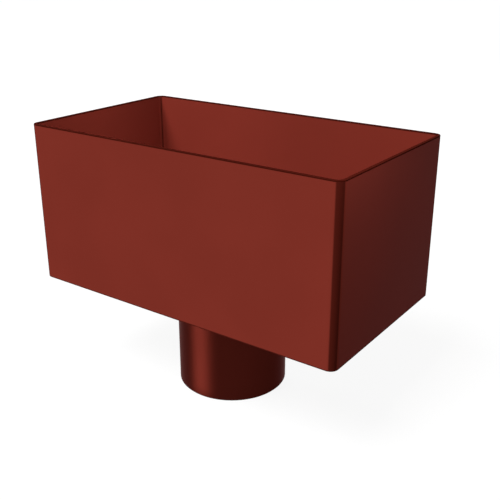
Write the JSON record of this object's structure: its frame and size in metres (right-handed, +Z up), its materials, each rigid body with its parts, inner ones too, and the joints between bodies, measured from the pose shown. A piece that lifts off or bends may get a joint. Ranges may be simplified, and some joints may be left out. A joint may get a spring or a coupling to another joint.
{
  "type": "downpipe hopper head",
  "caption": "Open rectangular rainwater hopper head of folded, coated sheet metal with rounded corner bends, a flat base and a plain round outlet spigot that slides into a downpipe.",
  "frame": {"origin": "on the outlet spigot's axis at its lower end, which is the middle of the part's underside", "axes": "+Z up along the spigot, +X along the box's length, +Y towards the building's wall"},
  "size_m": [0.3, 0.165, 0.23],
  "materials": {
    "brick_red_coat": "satin"
  },
  "bodies": {
    "root": {"folded_body": "brick_red_coat", "base_plate": "brick_red_coat", "outlet_spigot": "brick_red_coat"}
  },
  "joints": []
}
